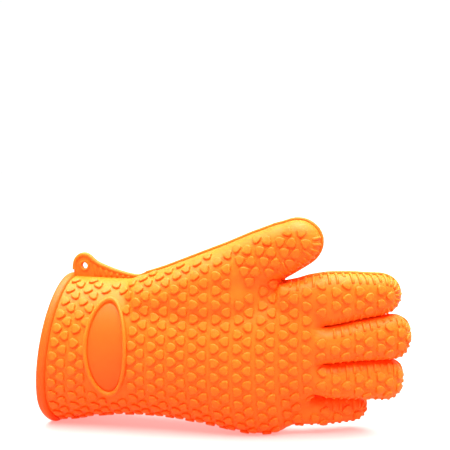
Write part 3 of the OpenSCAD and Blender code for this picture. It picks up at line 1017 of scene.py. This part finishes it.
def badge_shapes():
    rim, panel = Shape(), Shape()
    prof = [(0.1, -1.2), (0.0, 0.3), (0.2, 1.1), (0.7, 1.65), (1.35, 1.85), (2.0, 1.65), (2.5, 1.1), (2.7, 0.3),
            (2.6, -1.2)]
    rings = []
    for t in np.linspace(0, 2 * PI, 96, endpoint=False):
        rings.append(np.array([badge_pt(t, i, g) for i, g in prof]))
    rim.loft(rings, loop=True)
    th = np.linspace(0, 2 * PI, 72, endpoint=False)

    def oval(k, g):
        w, h = k * (BADGE_W / 2 - 2.6), k * (BADGE_H / 2 - 2.6)
        return np.array([back_pt(BADGE_X + w * math.cos(t), BADGE_Z + h * math.sin(t), g) for t in th])

    closed_tube(panel, [oval(1.0, -1.2)] + [oval(k, -0.35) for k in np.linspace(1, 0.04, 16)])
    return rim, panel


hem = hem_shape()
tab = tab_shape()
badge_rim, badge_panel = badge_shapes()

bottom_bead, thumb_bead = Shape(), Shape()
line = bottom_seam[(bottom_seam[:, 0] > 4) & (bottom_seam[:, 0] < 150)]
line = line + [0, 0, 0.35]
tube(bottom_bead, line, 1.2, (0, -1, 0))
line = [tree.find_nearest(Vector(edge_pt(x, False)))[0] for x in np.arange(148.0, 160, 2.0)]
line += [finger_edge(FINGERS["little"], s, -1) for s in np.arange(16, 24, 2.0)]
tube(bottom_bead, settle(line, 1.8, 3), 1.15, (0, -1, 0))
line = top_seam[top_seam[:, 0] > 64]
o1, n1 = CUTS["thumb"][:2]
end = finger_edge(thumb, 47.0, 1)
line = line[line[:, 0] < end[0] - 1]
line = np.concatenate([line, [end]])
tube(thumb_bead, settle(line, 2.2, 2) + [-0.2, 0, 0.4], 1.3, (0, -1, 0))
for arr in bottom_bead.v + shapes["hand"].v + hem.v:
    arr[:, 0] += 3.4 * np.clip(1 - arr[:, 2] / 22, 0, 1) ** 2 * (1 - step(0, 45, arr[:, 0]))
    arr[:, 2] = np.maximum(arr[:, 2], 0.02)


# ---------------------------------------------------------------- material
def silicone(name, base, bump=0.15, tone=0.04):
    mat = bpy.data.materials.new(name)
    mat.use_nodes = True
    nt = mat.node_tree
    bsdf = nt.nodes["Principled BSDF"]
    coord = nt.nodes.new("ShaderNodeTexCoord")

    def noise(scale, detail, rough=0.5):
        n = nt.nodes.new("ShaderNodeTexNoise")
        n.inputs["Scale"].default_value = scale
        n.inputs["Detail"].default_value = detail
        n.inputs["Roughness"].default_value = rough
        nt.links.new(coord.outputs["Object"], n.inputs["Vector"])
        return n

    broad, fine, grain = noise(22, 2), noise(420, 3), noise(1900, 2)
    ramp = nt.nodes.new("ShaderNodeValToRGB")
    ramp.color_ramp.elements[0].position = 0.32
    ramp.color_ramp.elements[1].position = 0.68
    ramp.color_ramp.elements[0].color = (*[c * (1 - tone) for c in base], 1)
    ramp.color_ramp.elements[1].color = (*[min(1, c * (1 + tone)) for c in base], 1)
    nt.links.new(broad.outputs["Fac"], ramp.inputs["Fac"])
    nt.links.new(ramp.outputs["Color"], bsdf.inputs["Base Color"])
    rough = nt.nodes.new("ShaderNodeMapRange")
    rough.inputs["From Min"].default_value = 0.3
    rough.inputs["From Max"].default_value = 0.7
    rough.inputs["To Min"].default_value = 0.42
    rough.inputs["To Max"].default_value = 0.54
    nt.links.new(fine.outputs["Fac"], rough.inputs["Value"])
    nt.links.new(rough.outputs["Result"], bsdf.inputs["Roughness"])
    add = nt.nodes.new("ShaderNodeMath")
    add.operation = "MULTIPLY_ADD"
    add.inputs[1].default_value = 0.45
    nt.links.new(fine.outputs["Fac"], add.inputs[0])
    nt.links.new(grain.outputs["Fac"], add.inputs[2])
    b = nt.nodes.new("ShaderNodeBump")
    b.inputs["Strength"].default_value = bump
    b.inputs["Distance"].default_value = 0.00012
    nt.links.new(add.outputs["Value"], b.inputs["Height"])
    nt.links.new(b.outputs["Normal"], bsdf.inputs["Normal"])
    bsdf.inputs["IOR"].default_value = 1.42
    bsdf.inputs["Specular IOR Level"].default_value = 0.16
    bsdf.inputs["Subsurface Weight"].default_value = 0.3
    bsdf.inputs["Subsurface Radius"].default_value = (1.0, 0.35, 0.1)
    bsdf.inputs["Subsurface Scale"].default_value = 0.0025
    return mat


# darker copy of the orange silicone, with a smoother bump: painted shade on the recessed badge face and on the
# hem band
SHADED_SMOOTH_ORANGE = silicone("smooth_silicone_painted_shade", (0.95, 0.078, 0.005), bump=0.05)
ORANGE = silicone("orange_silicone", (0.95, 0.112, 0.006))

# ---------------------------------------------------------------- pieces and bodies
joints = {j["name"]: j for j in frame["joints"]}


def finish_piece(ob, key=None):
    """Material and shading; key: a piece of the skin, which takes the whole skin's normals."""
    # the badge face and the hem band take the darker copy of the silicone, as painted shade
    ob.data.materials.append(SHADED_SMOOTH_ORANGE if ob.name in ("badge_face", "hem_band") else ORANGE)
    if key:
        flags = np.ones(len(ob.data.polygons), bool)
        flags[rims[key][0]:rims[key][1]] = False
        ob.data.polygons.foreach_set("use_smooth", flags)
        ob.data.update()
        vi = np.zeros(len(ob.data.loops), np.int32)
        ob.data.loops.foreach_get("vertex_index", vi)
        total = np.zeros(len(ob.data.polygons), np.int32)
        ob.data.polygons.foreach_get("loop_total", total)
        normals = lit[key][vi] * np.repeat(flags, total)[:, None]
        ob.data.normals_split_custom_set(normals.tolist())
    return ob


skin = finish_piece(make("glove_skin", shapes["hand"], fix_normals=True), "hand")
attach(skin, "hand")
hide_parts("back_shell", "palm_shell")
for name, f in FINGERS.items():
    ob = finish_piece(make(name + "_sleeve", shapes[name + "_sleeve"], fix_normals=True), name + "_sleeve")
    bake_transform(ob)
    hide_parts(name + "_root_back", name + "_root_palm")
    ob = finish_piece(make(name + "_end", shapes[name + "_tip"], fix_normals=True), name + "_tip")
    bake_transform(ob)
    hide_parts(name + "_tip_back", name + "_tip_palm")

for piece_name, shape, node in (
    ("hem_band", hem, "cuff_hem"),
    ("hang_tab", tab, "hanging_tab"),
    ("badge_ring", badge_rim, "badge_rim"),
    ("badge_face", badge_panel, "badge_panel"),
    ("lower_bead", bottom_bead, "bottom_bead"),
    ("upper_bead", thumb_bead, "thumb_bead"),
):
    ob = finish_piece(make(piece_name, shape, fix_normals=True))
    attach(ob, "hand")
    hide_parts(node)
    if piece_name == "hang_tab":
        ob.data.set_sharp_from_angle(angle=math.radians(50))

# ---------------------------------------------------------------- floor, light, camera
floor = bpy.data.meshes.new("floor")
floor.from_pydata([(-3, -3, 0), (3, -3, 0), (3, 3, 0), (-3, 3, 0)], [], [(0, 1, 2, 3)])
floor_ob = bpy.data.objects.new("floor", floor)
bpy.context.scene.collection.objects.link(floor_ob)
pale = bpy.data.materials.new("pale_floor_painted_bounce")
pale.use_nodes = True
# the floor's glow keeps it evenly white; the pink of its glow and of its base colour paints the glove's red
# bounce light into the floor's shadow
pale.node_tree.nodes["Principled BSDF"].inputs["Base Color"].default_value = (0.3, 0.22, 0.21, 1)
pale.node_tree.nodes["Principled BSDF"].inputs["Emission Color"].default_value = (1, 0.45, 0.42, 1)
pale.node_tree.nodes["Principled BSDF"].inputs["Emission Strength"].default_value = 0.75
pale.node_tree.nodes["Principled BSDF"].inputs["Roughness"].default_value = 0.6
pale.node_tree.nodes["Principled BSDF"].inputs["Specular IOR Level"].default_value = 0.2
floor.materials.append(pale)

scene = bpy.context.scene
world = bpy.data.worlds.new("studio")
world.use_nodes = True
wt = world.node_tree
where = wt.nodes.new("ShaderNodeTexCoord")
split = wt.nodes.new("ShaderNodeSeparateXYZ")
wt.links.new(where.outputs["Generated"], split.inputs["Vector"])
# white behind the glove, dimmer in front of it, where a room would be
fade = wt.nodes.new("ShaderNodeMapRange")
fade.interpolation_type = "SMOOTHSTEP"
for key, value in (("From Min", -0.5), ("From Max", 0.25), ("To Min", 0.45), ("To Max", 1.02)):
    fade.inputs[key].default_value = value
wt.links.new(split.outputs["Y"], fade.inputs["Value"])
wt.links.new(fade.outputs["Result"], wt.nodes["Background"].inputs["Strength"])
wt.nodes["Background"].inputs["Color"].default_value = (1, 1, 1, 1)
scene.world = world
scene.view_settings.view_transform = "Standard"


sun = bpy.data.lights.new("top_light", "SUN")
sun.energy = 18.5
sun.angle = math.radians(75)
sun_ob = bpy.data.objects.new("top_light", sun)
sun_ob.rotation_mode = "QUATERNION"
sun_ob.rotation_quaternion = Vector((0.05, -0.1, 1)).to_track_quat("Z", "Y")
scene.collection.objects.link(sun_ob)

AZ, EL = math.radians(16.11), math.radians(5.74)
back = Vector((math.sin(AZ) * math.cos(EL), -math.cos(AZ) * math.cos(EL), math.sin(EL)))
cam = bpy.data.objects.new("camera", bpy.data.cameras.new("camera"))
cam.location = (0.1868, -0.6359, 0.2059)
cam.rotation_mode = "QUATERNION"
cam.rotation_quaternion = (-back).to_track_quat("-Z", "Y")
cam.data.sensor_width = 36
cam.data.lens = 80.67
cam.data.clip_start, cam.data.clip_end = 0.01, 50
scene.collection.objects.link(cam)
scene.camera = cam
